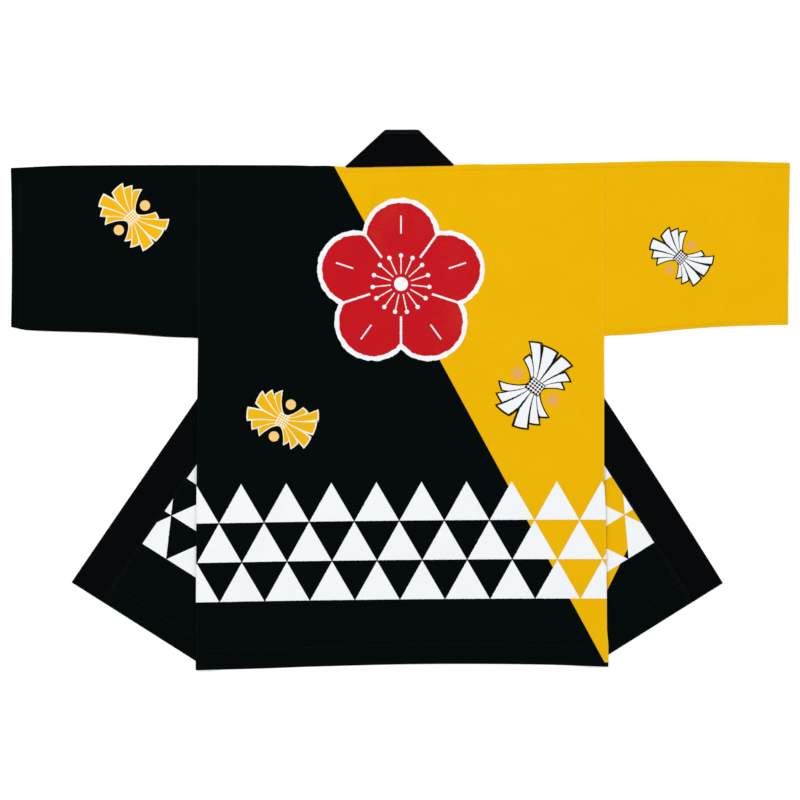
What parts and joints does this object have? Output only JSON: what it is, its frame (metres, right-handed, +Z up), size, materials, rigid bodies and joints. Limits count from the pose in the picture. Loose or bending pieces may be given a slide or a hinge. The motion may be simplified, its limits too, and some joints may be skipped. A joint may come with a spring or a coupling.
{
  "type": "happi coat",
  "caption": "Wide-sleeved happi coat of printed cotton, laid flat with its back up and its fronts folded out to each side.",
  "frame": {"origin": "on the floor under the middle of the laid coat's bounding box", "axes": "+X across from cuff to cuff towards the wearer's right sleeve, +Y from the hem to the collar, +Z up from the floor through the cloth"},
  "size_m": [1.2462, 0.8645, 0.008],
  "materials": {
    "body_cotton": "black and yellow printed cotton with a band of white triangles, matte plain weave",
    "collar_cotton": "black cotton, doubled and pressed, matte",
    "sleeve_left_cotton": "black printed cotton, matte plain weave",
    "sleeve_right_cotton": "yellow printed cotton, matte plain weave"
  },
  "bodies": {
    "root": {"back_panel": "body_cotton", "front_left": "body_cotton", "front_right": "body_cotton", "sleeve_left": "sleeve_left_cotton", "sleeve_right": "sleeve_right_cotton", "collar_neck": "collar_cotton", "collar_left": "collar_cotton", "collar_right": "collar_cotton"}
  },
  "joints": []
}
